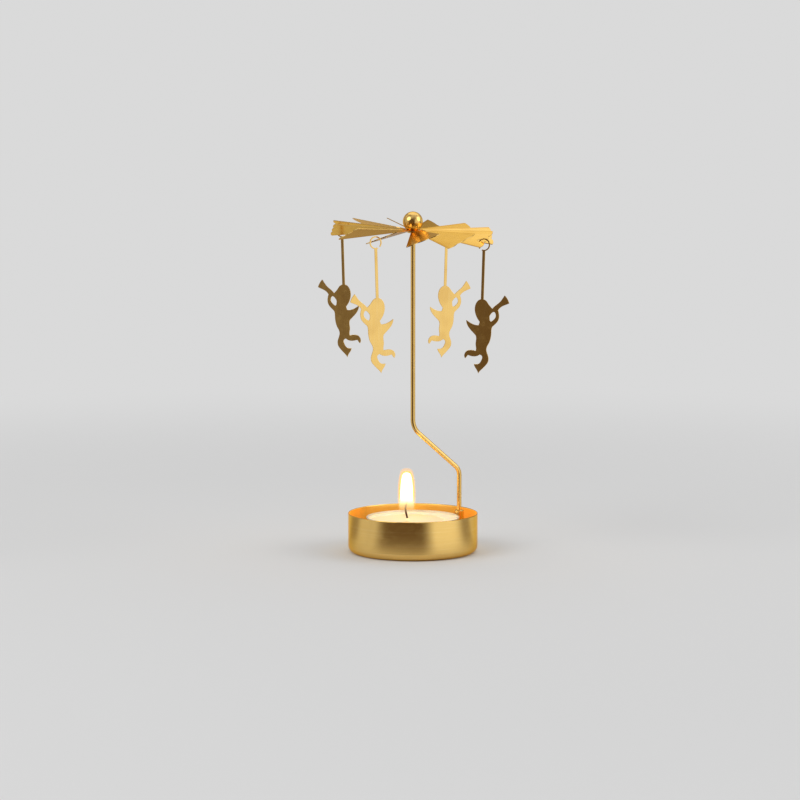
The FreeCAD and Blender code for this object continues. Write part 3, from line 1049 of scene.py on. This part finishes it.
@dataclass
class Tealight:
    """Lit tealight: cup, wax, wick and its foot, and the flame."""

    wax: Wax = Wax()
    cup: Foil = Foil()
    foot: Tin = Tin()
    char: Char = Char()
    meniscus: Meniscus = Meniscus()
    wick: Wick = Wick()
    flame: Flame = Flame()

    def dress(self) -> None:
        """Give the tealight's solids their finishes and light it."""
        wax = self.wax.build()
        dress("tealight_cup", self.cup.build())
        dress("tealight_wax", wax)
        dress("wick_sustainer", self.foot.build())
        self.meniscus.build(wax)
        self.wick.build(self.char.build())
        self.flame.build()


@dataclass(frozen=True)
class Backdrop:
    """Pale floor that fades into a backdrop: plain to the camera, and graded for metal."""

    colour: Rgb = (0.70, 0.70, 0.70)
    dim_side: Rgb = (0.13, 0.09, 0.06)
    dim_way: tuple[float, float] = (-0.26, -0.97)
    dim_levels: Levels = (0.62, 0.92)
    bright_side: Rgb = (1.0, 1.0, 1.0)
    bright_way: tuple[float, float] = (0.77, -0.64)
    bright_levels: Levels = (0.75, 0.98)
    patches: Noise = Noise(1.7, 1.0)
    patch_levels: Levels = (0.38, 0.62)
    patch_share: float = 0.60
    floor_colour: Rgba = (0.80, 0.80, 0.80, 1.0)
    floor_radius: float = 4.0
    floor_sides: int = 128
    mirrored_levels: Levels = (35.0, 80.0)
    fading_levels: Levels = (200.0, 700.0)
    light_colour: Rgba = (1.0, 1.0, 1.0, 1.0)
    light_strength: float = 0.42

    @staticmethod
    def seen_directly(graph: Graph) -> Channel:
        """1 for rays from the camera or by way of metal or glass, and 0 for the rest."""
        direct = graph.ray("Is Camera Ray") + graph.ray("Is Glossy Ray")
        return (direct + graph.ray("Is Transmission Ray")).at_most(1.0)

    @staticmethod
    def facing(way: Place, side: tuple[float, float], levels: Levels) -> Channel:
        """Find one side of the backdrop.

        Args:
            way: direction that the backdrop is seen in.
            side: direction of that side, across and ahead.
            levels: how closely the two agree where the side starts, and where it is full.

        Returns:
            1 on that side, and 0 away from it.
        """
        return (way.x * side[0] + way.y * side[1]).between(*levels)

    def graded(self, graph: Graph, way: Place) -> bpy.types.NodeSocket:
        """Colour of the backdrop: plain to the camera, and graded from side to side in metal.

        Args:
            graph: the material or world that shows it.
            way: direction that it is seen in.

        Returns:
            The colour's socket.
        """
        glossy = graph.ray("Is Glossy Ray")
        patches = graph.noise(way, self.patches).between(*self.patch_levels)
        plain = graph.mix(patches * glossy * self.patch_share, self.colour, self.dim_side)
        dim = self.facing(way, self.dim_way, self.dim_levels) * glossy
        bright = self.facing(way, self.bright_way, self.bright_levels) * glossy
        return graph.mix(dim, graph.mix(bright, plain, self.bright_side), self.dim_side)

    def lay_floor(self) -> None:
        """Lay the floor, which keeps the shadow and fades into the backdrop."""
        graph = Graph(bpy.data.materials.new("pale_floor"))
        place = graph.coordinates("Object", MM)
        away = place.radius()
        near = away.between(*self.mirrored_levels) * graph.ray("Is Glossy Ray")
        far = away.between(*self.fading_levels) * self.seen_directly(graph)
        matte = graph.node("ShaderNodeBsdfDiffuse", {}, {"Color": self.floor_colour})
        colour = self.graded(graph, Place(place.x / away, place.y / away, 0.0))
        plain = graph.node("ShaderNodeEmission", {}, {"Color": colour})
        mixed = graph.blend(near.at_least(far), matte, plain)
        graph.close("ShaderNodeOutputMaterial", mixed)
        profile = ((0.0, 0.0), (self.floor_radius, 0.0))
        piece = turned("floor", profile, Vector(), graph.owner, self.floor_sides)

    def light_world(self) -> None:
        """Set the soft light from all round, and the backdrop."""
        world = bpy.data.worlds.new("studio")
        bpy.context.scene.world = world
        graph = Graph(world)
        inputs = {"Color": self.light_colour, "Strength": self.light_strength}
        light = graph.node("ShaderNodeBackground", {}, inputs)
        colour = self.graded(graph, graph.coordinates("Generated"))
        shown = graph.node("ShaderNodeBackground", {}, {"Color": colour})
        mixed = graph.blend(self.seen_directly(graph), light, shown)
        graph.close("ShaderNodeOutputWorld", mixed)


@dataclass(frozen=True)
class Lamp:
    """Soft round lamp that faces the carousel's middle."""

    name: str
    place: Point
    size: float
    watts: float
    target: Point = (0.0, 0.0, 0.08)

    def hang(self) -> None:
        """Hang the lamp."""
        data = bpy.data.lights.new(self.name, "AREA")
        data.shape = "DISK"
        data.size = self.size
        data.energy = self.watts
        lamp = bpy.data.objects.new(self.name, data)
        lamp.location = self.place
        way = Vector(self.target) - Vector(self.place)
        lamp.rotation_euler = way.to_track_quat("-Z", "Y").to_euler()
        lamp.visible_camera = False
        bpy.context.scene.collection.objects.link(lamp)
        LOG.info("%s hung", self.name)


@dataclass(frozen=True)
class Camera:
    """Camera that stands where the photograph was taken from."""

    place: Point = (-5.58 * MM, -1150.0 * MM, 191.0 * MM)
    pitch: float = 6.2
    focal_pixels: float = 2680.0
    image_pixels: float = 800.0
    sensor: float = 36.0
    clip: Levels = (0.01, 50.0)

    def set_up(self) -> None:
        """Set the camera up, level and looking a little down."""
        data = bpy.data.cameras.new("camera")
        data.sensor_width = self.sensor
        data.lens = self.focal_pixels / self.image_pixels * self.sensor
        data.clip_start, data.clip_end = self.clip
        camera = bpy.data.objects.new("camera", data)
        camera.location = self.place
        camera.rotation_euler = (math.radians(90.0 - self.pitch), 0.0, 0.0)
        bpy.context.scene.collection.objects.link(camera)
        bpy.context.scene.camera = camera
        LOG.info("camera set up")


@dataclass
class Studio:
    """Pale floor and backdrop, soft light and the camera."""

    backdrop: Backdrop = Backdrop()
    lamps: tuple[Lamp, ...] = (
        Lamp("key_lamp", (-0.85, -0.60, 0.80), 0.90, 5.0),
        Lamp("fill_lamp", (1.00, -0.20, 0.60), 0.90, 3.2),
        Lamp("top_lamp", (0.10, 0.55, 1.20), 1.60, 3.6),
    )
    camera: Camera = Camera()

    def build(self) -> None:
        """Set up the whole studio."""
        self.backdrop.lay_floor()
        self.backdrop.light_world()
        for lamp in self.lamps:
            lamp.hang()
        self.camera.set_up()
        bpy.context.scene.view_settings.view_transform = "Standard"


def main() -> None:
    """Build the carousel's looks and the studio."""
    logging.basicConfig(level=logging.INFO)
    for group in (Stand(), Rotor(), Cherubs(), Tealight()):
        group.dress()
    Studio().build()


if __name__ == "__main__":
    main()
